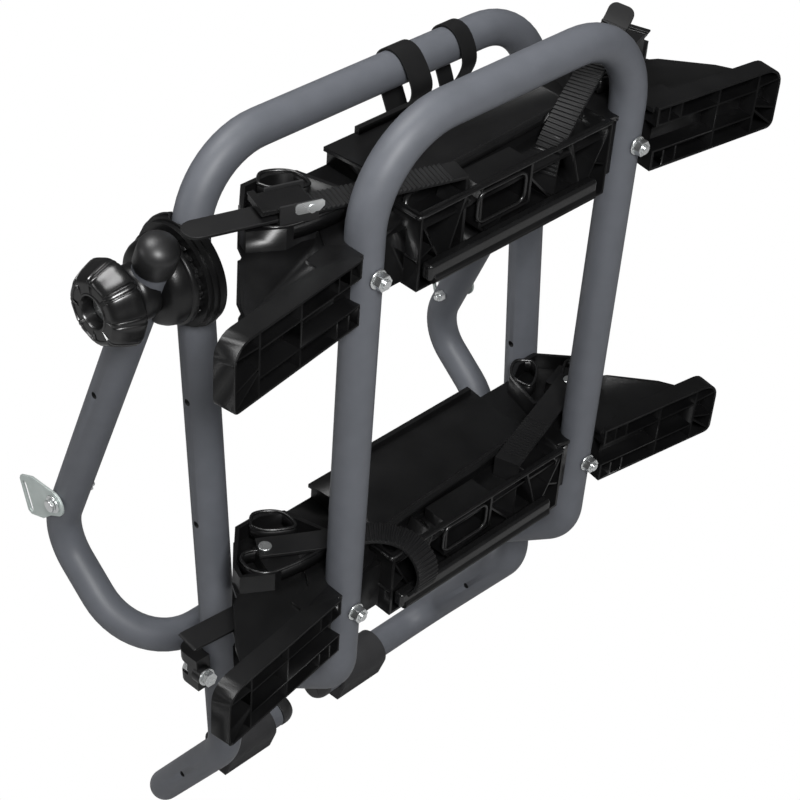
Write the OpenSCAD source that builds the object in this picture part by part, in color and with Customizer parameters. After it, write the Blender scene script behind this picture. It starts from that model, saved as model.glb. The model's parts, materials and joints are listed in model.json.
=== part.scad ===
// Trunk mounted bike rack, folded for storage.
// X runs across the car, +Y towards the car, +Z up. The rest pads stand on z = 0.

/* [Tube] */
// Outer diameter of every frame tube
tube_d = 32; // [28:0.5:34]
// Wall thickness of the frame tubes
tube_wall = 2; // [1.2:0.1:3]
// Diameter of the cross holes in the tubes
cross_hole_d = 6.6; // [5:0.1:9]

/* [Rear frame] */
// Distance between the two legs, centre to centre
rear_w = 403; // [390:1:430]
// Height of the top bar's centre line
rear_top_z = 820; // [800:1:860]
// Bend radius of the two top corners
rear_corner_r = 75; // [60:1:90]
// Height at which the legs turn into the feet
foot_top_z = 188; // [180:1:196]
// Distance from the legs back to the pad tubes
foot_back = 126; // [115:1:140]
// Bend radius between leg and foot
foot_bend_r = 60; // [45:1:70]
// Bend radius between foot and pad tube
stub_bend_r = 45; // [40:1:52]
// Gap between the cut ends of the two pad tubes
stub_gap = 70; // [50:1:80]
// Height of the upper cross hole in each leg
leg_hole_high_z = 597; // [560:1:620]
// Height of the lower cross hole in each leg
leg_hole_low_z = 467; // [440:1:500]
// Distance of the foot's cross hole behind the legs
foot_hole_back = 52; // [48:1:60]

/* [Rest pads] */
// Height of the pad tube's centre line over the ground
pad_drop = 33; // [30:1:38]
// Length of each pad along its tube
pad_len = 64; // [50:1:70]
// Distance of each pad's middle from the centre plane
pad_x = 82; // [79:1:88]
// Thickness of the rubber over the tube
pad_wall = 5.5; // [4:0.5:8]
// Width of the flat under side of a pad
pad_foot_w = 18; // [14:1:26]

/* [Platform frame] */
// Distance between the platform's two tubes, centre to centre
plat_w = 305; // [296:1:312]
// Lean of the folded platform away from the legs, in degrees
plat_lean = 5.1; // [4:0.1:6]
// Length of the platform from its foot bend to its top bar
plat_len = 554; // [540:1:580]
// Bend radius of the platform's two top corners
plat_corner_r = 80; // [65:1:84]
// Distance of the foot bend in front of the legs
plat_front = 107; // [100:1:115]
// Height of the platform's foot bend
plat_bend_z = 323; // [315:1:330]
// Bend radius at the platform's foot
plat_bend_r = 48; // [44:1:55]

/* [Platform hinge] */
// Height of the platform hinge's axis
pivot_z = 253; // [248:1:258]
// Diameter of the hinge pins
pivot_d = 8; // [6:0.5:10]
// Height of the hinge bracket above and below its clamp bolt
bracket_h = 36; // [32:1:50]
// Height of the bracket's clamp bolt
bracket_z = 302; // [298:1:312]
// Thickness of the bracket around the leg
bracket_t = 8; // [6:0.5:10]

/* [Trunk arm] */
// Distance of each trunk arm outside its leg, centre to centre
arm_out = 48.5; // [46:0.5:52]
// Height of the hub axis
hub_z = 724; // [700:1:740]
// Distance of the arm's elbow behind the hub
elbow_back = 167; // [160:1:175]
// Distance of the arm's elbow below the hub
elbow_drop = 337; // [325:1:345]
// Distance of the lower cross bar behind the hub
arm_bar_back = 62; // [58:1:70]
// Distance of the lower cross bar below the hub
arm_bar_drop = 437; // [425:1:445]
// Bend radius at the elbow
elbow_r = 48; // [44:1:60]
// Bend radius at the ends of the lower cross bar
arm_corner_r = 72; // [60:1:80]
// Length of arm above the hub axis
arm_tip = 47; // [42:1:52]
// Distance of the arm's cross hole from the hub axis
arm_hole_s = 142; // [110:1:180]

/* [Hubs and knobs] */
// Radius of the round hub housing
hub_r = 47; // [42:0.5:50]
// Radius of the toothed lock ring
lock_r = 38; // [34:0.5:40]
// Number of teeth on the lock ring
lock_teeth = 24; // [12:1:36]
// Diameter of the hub bolt
hub_bolt_d = 10; // [8:0.5:12]
// Length of the knob along its bolt
knob_len = 33; // [30:1:40]
// Radius of the knob over its lobes
knob_r = 38; // [34:0.5:40]
// Number of lobes on the knob
knob_lobes = 8; // [6:1:10]

/* [Wheel trays] */
// Distance of the lower tray's bolts above the foot bend
tray_low_s = 88; // [84:1:100]
// Distance of the upper tray's bolts below the platform's top bar
tray_drop = 113; // [108:1:124]
// Distance of the tray tips from the centre plane
tray_tip = 318; // [300:1:330]
// Height of the ribbed wing
wing_h = 62; // [58:1:66]
// Thickness of the wing
wing_t = 19; // [16:0.5:22]
// Slope of the wing towards its tip, in degrees
wing_slope = 8.6; // [6:0.1:10]
// Thickness of the outer skins of a tray
skin = 2.6; // [2:0.1:3.5]
// Thickness of the ribs
rib = 1.8; // [1.4:0.1:3]
// Depth of the wheel channel behind the tubes
channel_depth = 97; // [95:1:102]
// Height of a strap cup above the channel wall
cup_h = 19; // [16:0.5:22]
// Diameter of the tray bolts
tray_bolt_d = 8; // [6:0.5:8]

/* [Wheel straps] */
// Width of the ratchet straps
strap_w = 24; // [20:1:25]
// Thickness of the ratchet straps at their teeth
strap_t = 4; // [3:0.2:5]
// Distance from tooth to tooth
tooth_pitch = 4; // [3:0.5:6]

/* [Hold straps] */
// Width of the wide hold strap
hold_wide = 40; // [30:1:46]
// Width of the narrow hold strap
hold_narrow = 22; // [16:1:28]
// Thickness of the hold straps
hold_t = 3; // [2:0.2:4]

/* [Anchor plates] */
// Distance of the anchor plate's bolt from the hub axis
anchor_s = 317; // [305:1:325]
// Thickness of the sheet
plate_t = 2.5; // [2:0.1:3]
// Length of the webbing slot
slot_len = 32; // [26:1:34]
// Width of the webbing slot
slot_w = 6; // [5:0.5:8]
// Turn of the plate below level, in degrees
plate_turn = 27; // [0:1:60]
// Radius of the plate's end around its bolt
plate_end_r = 13; // [11:0.5:15]

/* [Fits] */
// Gap between pieces that lie on each other
gap = 0.3; // [0.2:0.05:0.5]
// Radial clearance of pins that turn
run = 0.06; // [0.02:0.01:0.1]

/* [Hidden] */

$fn = 48;
tube_r = tube_d / 2;
bore_r = tube_r - tube_wall;
rear_x = rear_w / 2;
plat_x = plat_w / 2;
arm_x = rear_x + arm_out;
stub_x = stub_gap / 2;
saddle_r = tube_r + gap;
slate = [0.33, 0.34, 0.36];
zinc = [0.78, 0.80, 0.80];
black = [0.07, 0.07, 0.075];
soft_black = [0.12, 0.12, 0.125];
rubber = [0.2, 0.2, 0.205];

// The frames' centre lines, from the left end round to the right end.
rear_line = [[-stub_x, foot_back, pad_drop], [-rear_x, foot_back, pad_drop],
  [-rear_x, 0, foot_top_z], [-rear_x, 0, rear_top_z], [rear_x, 0, rear_top_z],
  [rear_x, 0, foot_top_z], [rear_x, foot_back, pad_drop], [stub_x, foot_back, pad_drop]];
rear_radii = [stub_bend_r, foot_bend_r, rear_corner_r, rear_corner_r, foot_bend_r, stub_bend_r];
plat_top = [-plat_front - plat_len * sin(plat_lean), plat_bend_z + plat_len * cos(plat_lean)];
plat_line = [[-plat_x, 0, pivot_z], [-plat_x, -plat_front, plat_bend_z],
  [-plat_x, plat_top[0], plat_top[1]], [plat_x, plat_top[0], plat_top[1]],
  [plat_x, -plat_front, plat_bend_z], [plat_x, 0, pivot_z]];
plat_radii = [plat_bend_r, plat_corner_r, plat_corner_r, plat_bend_r];
arm_dir = [0, elbow_back, -elbow_drop] / norm([elbow_back, elbow_drop]);
arm_slope = atan2(elbow_back, elbow_drop);
arm_end = [0, 0, hub_z] - arm_dir * arm_tip;
elbow = [0, elbow_back, hub_z - elbow_drop];
arm_low = [0, arm_bar_back, hub_z - arm_bar_drop];
arm_line = [arm_end - [arm_x, 0, 0], elbow - [arm_x, 0, 0], arm_low - [arm_x, 0, 0],
  arm_low + [arm_x, 0, 0], elbow + [arm_x, 0, 0], arm_end + [arm_x, 0, 0]];
arm_radii = [elbow_r, arm_corner_r, arm_corner_r, elbow_r];
foot_slope = atan2(foot_top_z - pad_drop, foot_back);
plat_foot = [0, plat_front, pivot_z - plat_bend_z] / norm([plat_front, plat_bend_z - pivot_z]);
plat_foot_slope = atan2(plat_bend_z - pivot_z, plat_front);

// The wall is this much thicker at a bend, and the straight runs reach this far into it
bend_swell = 0.3;
bend_lap = 0.5;
// How far the platform tube runs past its hinge pin
plat_past = 9;
// Place of the upper tray's bolts along the platform
tray_high_s = plat_len - tray_drop;
// Hub stack, measured along the hub axis outwards from the leg
housing_in = rear_x + 4;
housing_out = rear_x + 21;
ring_out = housing_out + gap + 3.5;
cradle_in = ring_out + gap;
cap_split = 1;
clamp_out = arm_x + tube_r + 3;
knob_in = clamp_out + gap;
knob_out = knob_in + knob_len;
// The knob is sunk this far in its middle, down to its nut
knob_sink = 17;
// Hardware sizes of M8 and M6
nut_h = 7;
nut_af = 13;
head_h = 5.5;
washer_t = 1.6;
washer_r = 8.5;
// Distance of the bracket's clamp bolt outside the leg
bracket_ear = tube_r + gap + nut_af / 2 + 3;
lever_len = 40;
cup_top = 26 + cup_h;
buckle_z = cup_top + gap;
strap_z = buckle_z + 2 + gap;
lever_r = 4.2;
lever_pin_z = 2 + gap + strap_t + gap + lever_r;
tooth_h = 1.2;
slot_x = 54;
slot_low = -20;
strap_turn = 17.5;
buckle_s = 140;
strap_pin_r = 2.5;
tongue_turn = 5;
tongue_len = 186;
// Run of the looped strap: where it crosses the tubes' plane, its turn and its bend
loop_x = 95.4;
loop_turn = 30.3;
loop_pin = 113;
loop_reach = 48.7;
loop_r = 17;
loop_drop = 27;
loop_teeth = 6;
// The loose strap leaves its slot here, rises and turns a little behind the frame
loose_z = 28;
loose_rise = 28;
loose_turn = 3;
loose_len = 158;

function unit(v) = v / norm(v);
function bend_len(a, p, b, r) = r * tan(acos(unit(p - a) * unit(b - p)) / 2);
function arc2(c, r, from, to, n) = [for (i = [0:n]) c + r * [cos(from + (to - from) * i / n),
  sin(from + (to - from) * i / n)]];
function drawn_in(points, centre, by) = [for (p = points) p + unit(centre - p) * by];

// The bend at corner p between the runs from a and to b
module elbow_piece(a, p, b, bend_r) {
  d1 = unit(p - a);
  d2 = unit(b - p);
  turn = acos(d1 * d2);
  inward = unit(d2 - d1 * (d1 * d2));
  up = cross(-inward, d1);
  c = p - d1 * (bend_r * tan(turn / 2)) + inward * bend_r;
  multmatrix([[-inward[0], d1[0], up[0], c[0]], [-inward[1], d1[1], up[1], c[1]],
      [-inward[2], d1[2], up[2], c[2]], [0, 0, 0, 1]])
    rotate_extrude(angle = turn)
      translate([bend_r, 0])
        difference() {
          circle(r = tube_r + bend_swell);
          circle(r = bore_r - bend_swell);
        }
}

// A piece of straight tube from a to b
module run_piece(a, b) {
  d = unit(b - a);
  translate(a)
    rotate([0, acos(d[2]), atan2(d[1], d[0])])
      linear_extrude(norm(b - a))
        difference() {
          circle(r = tube_r);
          circle(r = bore_r);
        }
}

// A hollow frame tube along a line of points, bent at each inner point
module frame_tube(line, radii, over = 0) {
  last = len(line) - 1;
  cuts = [for (i = [0:last]) i == 0 || i == last ? -over
    : bend_len(line[i - 1], line[i], line[i + 1], radii[i - 1])];
  for (i = [0:last - 1]) {
    d = unit(line[i + 1] - line[i]);
    run_piece(line[i] + d * (cuts[i] - (i == 0 ? 0 : bend_lap)),
      line[i + 1] - d * (cuts[i + 1] - (i == last - 1 ? 0 : bend_lap)));
  }
  for (i = [1:last - 1])
    elbow_piece(line[i - 1], line[i], line[i + 1], radii[i - 1]);
}

// A hole along X through the tube at the given height and depth
module cross_hole(x, y, z, d) {
  translate([x - tube_d, y, z])
    rotate([0, 90, 0])
      cylinder(d = d, h = 2 * tube_d);
}

// Hexagonal head or nut along +Z
module hex(af, h) {
  cylinder(d = af / cos(30), h = h, $fn = 6);
}

// Draws its child on both sides
module both_sides() {
  children();
  mirror([1, 0, 0])
    children();
}

// Raises a flat shape drawn in X and Z towards +Y
module slab(h) {
  translate([0, h, 0])
    rotate([90, 0, 0])
      linear_extrude(h)
        children();
}

// Frame of the platform: X across, Y through the trays, Z along the tubes
module on_platform(s) {
  translate([0, -plat_front, plat_bend_z])
    rotate([plat_lean, 0, 0])
      translate([0, 0, s])
        children();
}

// Frame of the right hub: Z outwards along the hub axis, X up the arm
module on_hub() {
  translate([0, 0, hub_z])
    rotate([0, 90, 0])
      rotate([0, 0, 180 + arm_slope])
        children();
}

// Rear frame with its feet, pad tubes and cross holes
module rear_frame() {
  color(slate)
    difference() {
      frame_tube(rear_line, rear_radii);
      for (side = [-1, 1]) {
        cross_hole(side * rear_x, 0, leg_hole_high_z, cross_hole_d);
        cross_hole(side * rear_x, 0, leg_hole_low_z, cross_hole_d);
        cross_hole(side * rear_x, foot_hole_back,
          foot_top_z - foot_hole_back * tan(foot_slope), cross_hole_d);
        cross_hole(side * rear_x, 0, hub_z, hub_bolt_d + 2 * gap);
      }
    }
}

// Domed plug for a tube end that opens along +Z
module end_plug() {
  translate([0, 0, -14])
    cylinder(r = bore_r - gap, h = 14.5);
  translate([0, 0, 0.2])
    cylinder(r = tube_r + 0.6, h = 5);
  translate([0, 0, 5.2])
    intersection() {
      sphere(r = tube_r + 0.6);
      cylinder(r = tube_d, h = tube_r * 0.72);
    }
}

module pad_tube_caps() {
  color(soft_black)
    both_sides()
      translate([stub_x, foot_back, pad_drop])
        rotate([0, -90, 0])
          end_plug();
}

// Rubber pad: round over the tube, narrow and flat below
module rest_pad(side) {
  r = tube_r + pad_wall;
  profile = concat(arc2([0, pad_drop], r, -25, 205, 20),
    [[-pad_foot_w / 2, 0], [pad_foot_w / 2, 0]]);
  color(rubber)
    translate([side * pad_x - pad_len / 2, foot_back, 0])
      rotate([90, 0, 90])
        difference() {
          linear_extrude(pad_len)
            polygon(profile);
          translate([0, pad_drop, -1])
            cylinder(r = saddle_r, h = pad_len + 2);
        }
}

// Round housing that sits over the outer half of the leg
module hub_housing(side) {
  color(black)
    mirror([side < 0 ? 1 : 0, 0, 0])
      difference() {
        translate([housing_in, 0, hub_z])
          rotate([0, 90, 0])
            difference() {
              union() {
                cylinder(r = hub_r, h = housing_out - housing_in - 4);
                cylinder(r = hub_r - 2.5, h = housing_out - housing_in);
                translate([0, 0, 5])
                  cylinder(r = hub_r + 1.6, h = 3);
              }
              translate([0, 0, -1])
                cylinder(r = hub_bolt_d / 2 + gap, h = 60);
            }
        translate([rear_x, 0, hub_z - 80])
          cylinder(r = saddle_r, h = 160);
      }
}

// Toothed ring between the housing and the arm's cradle
module lock_ring(side) {
  color(soft_black)
    mirror([side < 0 ? 1 : 0, 0, 0])
      translate([housing_out + gap, 0, hub_z])
        rotate([0, 90, 0])
          difference() {
            union() {
              cylinder(r = lock_r - 2, h = ring_out - housing_out - gap);
              for (i = [0:lock_teeth - 1])
                rotate([0, 0, i * 360 / lock_teeth])
                  translate([lock_r - 4, -2, 0])
                    cube([4, 4, ring_out - housing_out - gap]);
            }
            translate([0, 0, -1])
              cylinder(r = hub_bolt_d / 2 + gap, h = 20);
          }
}

// Bolt from the inside of the leg out to the knob
module hub_bolt(side) {
  bolt_in = rear_x - tube_r - gap;
  color(zinc)
    mirror([side < 0 ? 1 : 0, 0, 0])
      translate([bolt_in, 0, hub_z])
        rotate([0, 90, 0]) {
          cylinder(d = hub_bolt_d, h = knob_out - 8 - bolt_in);
          translate([0, 0, -3.5])
            cylinder(r = hub_bolt_d, h = 3.5);
        }
}

// Bracket behind the leg, with an ear for its bolt and an arm for the hinge pin
module hinge_bracket(side) {
  back = tube_r + gap + bracket_t;
  arm_in = rear_x - plat_x - tube_r - 2 * gap;
  color(black)
    mirror([side < 0 ? 1 : 0, 0, 0])
      difference() {
        union() {
          translate([rear_x, 0, bracket_z - bracket_h / 2])
            linear_extrude(bracket_h)
              polygon(concat([[-arm_in, -6]], [[-arm_in, back - 8], [-arm_in + 8, back]],
                arc2([bracket_ear - 6, back - 12], 12, 90, 0, 6), [[bracket_ear + 6, -6]]));
          // ribs on the back and the outer side
          for (i = [0:3])
            translate([rear_x - 4, back - 1, bracket_z - bracket_h / 2 + 5 + i * (bracket_h - 13) / 3])
              cube([bracket_ear - 8, 4, 3]);
          translate([rear_x - arm_in, 0, pivot_z])
            rotate([0, 90, 0])
              cylinder(r = 14, h = arm_in - tube_r - gap);
          translate([rear_x - arm_in, -6, pivot_z])
            cube([arm_in - tube_r - gap, back, bracket_z - pivot_z]);
          translate([rear_x + bracket_ear, -11, bracket_z])
            rotate([-90, 0, 0])
              cylinder(r = 9, h = 10);
        }
        translate([rear_x, 0, bracket_z - bracket_h])
          cylinder(r = saddle_r, h = 3 * bracket_h);
        translate([rear_x - saddle_r, -30, pivot_z - 30])
          cube([2 * saddle_r, 30, 3 * bracket_h]);
        translate([rear_x + bracket_ear, -20, bracket_z])
          rotate([-90, 0, 0])
            cylinder(d = 8.6, h = 60);
        translate([rear_x + bracket_ear, 8, bracket_z])
          rotate([-90, 0, 0])
            cylinder(r = 9, h = 40);
        translate([rear_x - arm_in - 1, 0, pivot_z])
          rotate([0, 90, 0])
            cylinder(r = pivot_d / 2 + run, h = 30);
      }
}

module bracket_bolts() {
  color(zinc)
    both_sides()
      translate([rear_x + bracket_ear, -11 - washer_t, bracket_z])
        rotate([-90, 0, 0]) {
          cylinder(d = 8, h = 11 + washer_t + 8 + nut_h);
          cylinder(r = washer_r, h = washer_t);
          translate([0, 0, -head_h])
            hex(nut_af, head_h);
        }
}

module bracket_nuts() {
  color(zinc)
    both_sides()
      translate([rear_x + bracket_ear, 8, bracket_z])
        rotate([-90, 0, 0])
          difference() {
            hex(nut_af, nut_h - 1);
            translate([0, 0, -1])
              cylinder(r = 4 + run, h = nut_h + 2);
          }
}

// Pin through the bracket's arm and the platform tube
module hinge_pins() {
  pin_out = rear_x - tube_r - gap - 0.4;
  pin_in = plat_x - tube_r - nut_h - 3;
  color(zinc)
    both_sides()
      translate([pin_in, 0, pivot_z])
        rotate([0, 90, 0])
          cylinder(d = pivot_d, h = pin_out - pin_in);
}

module hinge_pin_nuts() {
  color(zinc)
    both_sides()
      translate([plat_x - tube_r - gap, 0, pivot_z])
        rotate([0, -90, 0])
          difference() {
            union() {
              cylinder(r = washer_r, h = washer_t);
              hex(nut_af, nut_h);
            }
            translate([0, 0, -1])
              cylinder(r = pivot_d / 2 + 0.02, h = nut_h + 2);
          }
}

// Platform frame with its hinge and tray bolt holes
module platform_frame() {
  color(slate)
    difference() {
      frame_tube(plat_line, plat_radii, plat_past);
      for (side = [-1, 1]) {
        cross_hole(side * plat_x, 0, pivot_z, pivot_d + 2 * run);
        for (s = [tray_low_s, tray_high_s])
          on_platform(s)
            translate([side * plat_x, -tube_d, 0])
              rotate([-90, 0, 0])
                cylinder(d = tray_bolt_d + 0.6, h = 2 * tube_d);
      }
    }
}

module platform_end_caps() {
  color(soft_black)
    both_sides()
      translate([plat_x, plat_foot[1] * plat_past, pivot_z + plat_foot[2] * plat_past])
        rotate([-90 - plat_foot_slope, 0, 0])
          translate([0, 0, 0.2]) {
            cylinder(r = tube_r, h = 3);
            difference() {
              translate([0, 0, -4])
                cylinder(r = bore_r - gap, h = 4.1);
              translate([0, 0, -5])
                cylinder(r = bore_r - 3, h = 4);
            }
          }
}

// Shapes of the wheel trays, drawn for the right-hand side
wing_in = plat_x + 20;
wing_len = (tray_tip - wing_in) / cos(wing_slope);
wing_top = wing_h / 2 - 2;
wing_low = -wing_h / 2 - 2;
row_high = 12;
row_low = -14;
wall_high = 22;
wall_low = -26;
wall_t = 4;
ridge_z = 38;
body_x = plat_x - 41;
deck_z = 40;
recess_z = 24;
deck_skew = 2.9;
// Tab at the back of the deck, on which the hold straps end
tab_from = -72;
tab_to = 100;
tab_t = 5;
tab_z = 50;
front_y = -tube_r - 3;

// Outline of the wing face, drawn in by the given skin
function wing_outline(by) = concat([[by, wing_low + by]],
  arc2([wing_len - 7, wing_low + 7], 7 - by, -90, 0, 4),
  arc2([wing_len - 18, wing_top - 18], 18 - by, 0, 90, 6), [[by, wing_top - by]]);

// A straight rib between two points of the face
module rib_line(a, b, t) {
  d = unit(b - a);
  n = [-d[1], d[0]] * t / 2;
  polygon([a - d + n, a - d - n, b + d - n, b + d + n]);
}

module wing() {
  translate([wing_in, front_y, 0])
    rotate([0, 0, -wing_slope])
      difference() {
        slab(wing_t)
          polygon(wing_outline(0));
        translate([0, -1, 0])
          slab(wing_t - skin + 1)
            difference() {
              polygon(wing_outline(skin));
              translate([-1, row_high - rib / 2])
                square([wing_len * 0.81 + 1, rib]);
              translate([-1, row_low - rib / 2])
                square([wing_len * 0.81 + 1, rib]);
              for (x = [13, 27])
                for (z = [wing_low, row_high])
                  translate([x, z])
                    square([rib, wing_top - row_high]);
              for (x = [0.48, 0.8])
                translate([wing_len * x, wing_low])
                  square([rib + 0.4, wing_h]);
              rib_line([wing_len * 0.81, row_high + 3], [wing_len, row_high + 5], rib);
              rib_line([wing_len * 0.81, -4], [wing_len, -13], rib);
              rib_line([wing_len * 0.81, -8], [wing_len - 2, wing_low + 3], rib);
            }
        // opening around the tray bolt
        translate([-1, -1, row_low + rib / 2])
          cube([13, wing_t + 2, row_high - row_low - rib]);
      }
}

// Plan outline of the channel's side walls
function wall_plan() = [[body_x - 12, 12], [wing_in - 12, front_y + wing_t - 2],
  [wing_in + 4, front_y + wing_t - 2], [284, -17], [275, 1], [243, 40], [236, 44], [229, 58],
  [194, channel_depth], [body_x - 12, channel_depth]];

// Plan outline of the cup that carries the strap buckle
cup_plan = [[232, 45], [227, 60], [193, 96], [166, 96], [146, 84], [134, 42], [158, 31], [206, 29]];
cup_mid = [184, 62];

module tray_side() {
  wing();
  for (z = [wall_low - wall_t, wall_high])
    translate([0, 0, z])
      linear_extrude(wall_t)
        polygon(wall_plan());
  // saddle around the frame tube
  translate([body_x - 2, -4, wall_low - 1])
    cube([wing_in - body_x + 16, 26, wall_high - wall_low + 2]);
  translate([0, 0, wall_high + wall_t - 1])
    linear_extrude(wing_top - wall_high - wall_t + 1)
      polygon([[wing_in - 3, front_y + 3], [wing_in + 34, front_y + 12], [wing_in + 34, 7],
        [183, 12], [165, 40], [body_x - 1, 40], [body_x - 1, 2], [body_x + 20, -4]]);
  // strap cup
  difference() {
    translate([0, 0, wall_high + 1])
      linear_extrude(cup_top - wall_high - 1)
        polygon(cup_plan);
    translate([0, 0, wall_high + wall_t + 3])
      linear_extrude(cup_h)
        polygon(drawn_in(cup_plan, cup_mid, 4.5));
  }
  // post under the buckle
  translate([slot_x, 0, 0])
    rotate([0, 0, strap_turn])
      translate([buckle_s - 14, -12, wall_high + wall_t - 1])
        cube([32, 32, cup_top - wall_high - wall_t + 1]);
}

// Middle of the tray between the frame tubes
module tray_middle() {
  // back plate of the ribbed face and its lower skin
  translate([-body_x, 8, wall_low - wall_t])
    cube([2 * body_x, skin, wall_high - wall_low + wall_t]);
  translate([-body_x, front_y, wall_low - wall_t])
    cube([2 * body_x, 30, skin]);
  // front flange and the end skins
  translate([-body_x, front_y, ridge_z])
    cube([2 * body_x, 5, skin]);
  for (x = [-body_x, body_x - skin])
    translate([x, front_y, wall_low - wall_t])
      cube([skin, 30, ridge_z - wall_low + wall_t + skin]);
  // diagonal ribs and the frame of the hand hole
  translate([0, front_y + 1, 0])
    slab(27.5)
      difference() {
        union() {
          for (side = [-1, 1]) {
            rib_line([side * body_x, ridge_z - 2], [side * (body_x - 30), -20], rib);
            rib_line([side * (body_x - 30), -20], [side * (body_x - 50), ridge_z], rib);
            rib_line([side * body_x, -2], [side * (body_x - 16), 6], rib);
          }
          rib_line([-40, -2], [-28, -16], rib);
          rib_line([-28, -16], [-18, 0], rib);
          rib_line([14, 24], [40, -4], rib);
          translate([-44, 0])
            square([60, ridge_z + 1]);
        }
        translate([-44 + skin, skin])
          square([60 - 2 * skin, ridge_z - 4]);
      }
  // lower lip
  translate([-body_x + 10, front_y - 5, -17])
    rotate([0, 90, 0])
      cylinder(r = 6, h = 2 * body_x - 34);
  translate([-body_x + 10, front_y - 5, -23])
    cube([2 * body_x - 34, 34, 12]);
  // raised decks of the channel's two walls
  for (z = [-deck_z + wall_t, deck_z])
    translate([0, 0, z])
      linear_extrude(wall_t)
        polygon([[-body_x + 14, 12], [body_x - 14, 22], [body_x - 6, channel_depth],
          [-body_x + 6, channel_depth]]);
  translate([-body_x, front_y + 4, recess_z])
    cube([2 * body_x, 42, skin]);
  translate([-body_x + 14, 12.4, recess_z])
    rotate([0, 0, deck_skew])
      cube([2 * body_x - 28, wall_t, deck_z - recess_z + wall_t - 0.4]);
  translate([-body_x + 14, 12.4, deck_z + wall_t - 3.4])
    rotate([0, 90, deck_skew])
      cylinder(r = 4.2, h = 2 * body_x - 28);
  translate([tab_from, channel_depth - tab_t, deck_z + wall_t - 1])
    cube([tab_to - tab_from, tab_t, tab_z - deck_z - wall_t + 1]);
  for (side = [0, 1])
    mirror([side, 0, 0])
      for (z = [-deck_z + wall_t, wall_high])
        translate([body_x - 14, 14, z])
          cube([wall_t, channel_depth - 14, z > 0 ? deck_z - wall_high + wall_t
            : wall_low + deck_z - wall_t]);
}

module tray() {
  color(black)
    difference() {
      union() {
        both_sides()
          tray_side();
        tray_middle();
      }
      for (side = [-1, 1])
        translate([side * plat_x, 0, 0]) {
          translate([0, 0, -80])
            cylinder(r = saddle_r, h = 180);
          translate([-saddle_r, -60, -80])
            cube([2 * saddle_r, 60, 180]);
          rotate([-90, 0, 0])
            cylinder(d = tray_bolt_d + 0.6, h = 60);
        }
      // slots for the straps
      both_sides()
        translate([slot_x, 0, 0])
          rotate([0, 0, strap_turn]) {
            translate([-strap_t - gap, -strap_w / 2 - gap, slot_low - gap])
              cube([strap_t - tooth_h + 2 * gap, strap_w + 2 * gap, 100]);
          }
    }
}

// The upper tray also has a notch under its loose strap
module upper_tray() {
  difference() {
    on_platform(tray_high_s)
      tray();
    on_loose()
      translate([-2, -strap_w / 2 - 2 * gap, -2 * gap])
        cube([90, strap_w + 4 * gap, 30]);
  }
}

// The lower tray also has holes for its two strap pins
module lower_tray() {
  difference() {
    on_platform(tray_low_s)
      tray();
    on_strap(1, tray_low_s)
      translate([buckle_s - 4, 0, cup_top - 9])
        cylinder(r = strap_pin_r + gap, h = 20);
    on_loop()
      translate([loop_pin, 0, cup_top - 9])
        cylinder(r = strap_pin_r + gap, h = 20);
  }
}

// Draws its child at the four places where a tray is bolted to a tube
module at_tray_bolts() {
  for (s = [tray_low_s, tray_high_s])
    for (side = [-1, 1])
      on_platform(s)
        translate([side * plat_x, 0, 0])
          children();
}

module tray_bolts() {
  head_y = 22 + gap;
  tail_y = tube_r + gap + washer_t + nut_h + 2.5;
  color(zinc)
    at_tray_bolts()
      translate([0, head_y, 0])
        rotate([90, 0, 0]) {
          cylinder(d = tray_bolt_d, h = head_y + tail_y);
          translate([0, 0, -4])
            cylinder(r = 7.5, h = 4);
        }
}

module tray_washers() {
  color(zinc)
    at_tray_bolts()
      translate([0, -tube_r - gap, 0])
        rotate([90, 0, 0])
          difference() {
            cylinder(r = washer_r, h = washer_t);
            translate([0, 0, -1])
              cylinder(r = tray_bolt_d / 2 + 0.1, h = 4);
          }
}

module tray_nuts() {
  color(zinc)
    at_tray_bolts()
      translate([0, -tube_r - gap - washer_t - 0.1, 0])
        rotate([90, 0, 0])
          difference() {
            hex(nut_af, nut_h);
            translate([0, 0, -1])
              cylinder(r = tray_bolt_d / 2 + 0.1, h = nut_h + 2);
          }
}

// Frame of a wheel strap: X outwards along the strap from its slot, Y across it, Z up
module on_strap(side, s) {
  on_platform(s)
    mirror([side < 0 ? 1 : 0, 0, 0])
      translate([slot_x, 0, 0])
        rotate([0, 0, strap_turn])
          children();
}

// Frame of the looped strap on the lower left: X outwards along it, Z up
module on_loop() {
  on_platform(tray_low_s)
    translate([-loop_x, 0, 0])
      rotate([0, 0, 180 - loop_turn])
        mirror([0, 1, 0])
          children();
}

// A flat strap from the origin along X, toothed on top between two distances
module toothed_strap(length, teeth_from, teeth_to) {
  count = floor((teeth_to - teeth_from) / tooth_pitch);
  low = strap_t - tooth_h;
  profile = concat([[0, 0], [length - 3, 0], [length, low / 2], [length - 3, low]],
    [for (i = [0:count - 1]) each [
      [teeth_to - i * tooth_pitch, low],
      [teeth_to - (i + 0.1) * tooth_pitch, strap_t],
      [teeth_to - (i + 0.5) * tooth_pitch, strap_t],
      [teeth_to - (i + 0.6) * tooth_pitch, low]]],
    [[0, low]]);
  translate([0, strap_w / 2, 0])
    rotate([90, 0, 0])
      linear_extrude(strap_w)
        polygon(profile);
}

// The strap's root, standing in the slot of the tray
module strap_root(top) {
  translate([-strap_t, -strap_w / 2, slot_low])
    cube([strap_t - tooth_h, strap_w, top - slot_low]);
}

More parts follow.
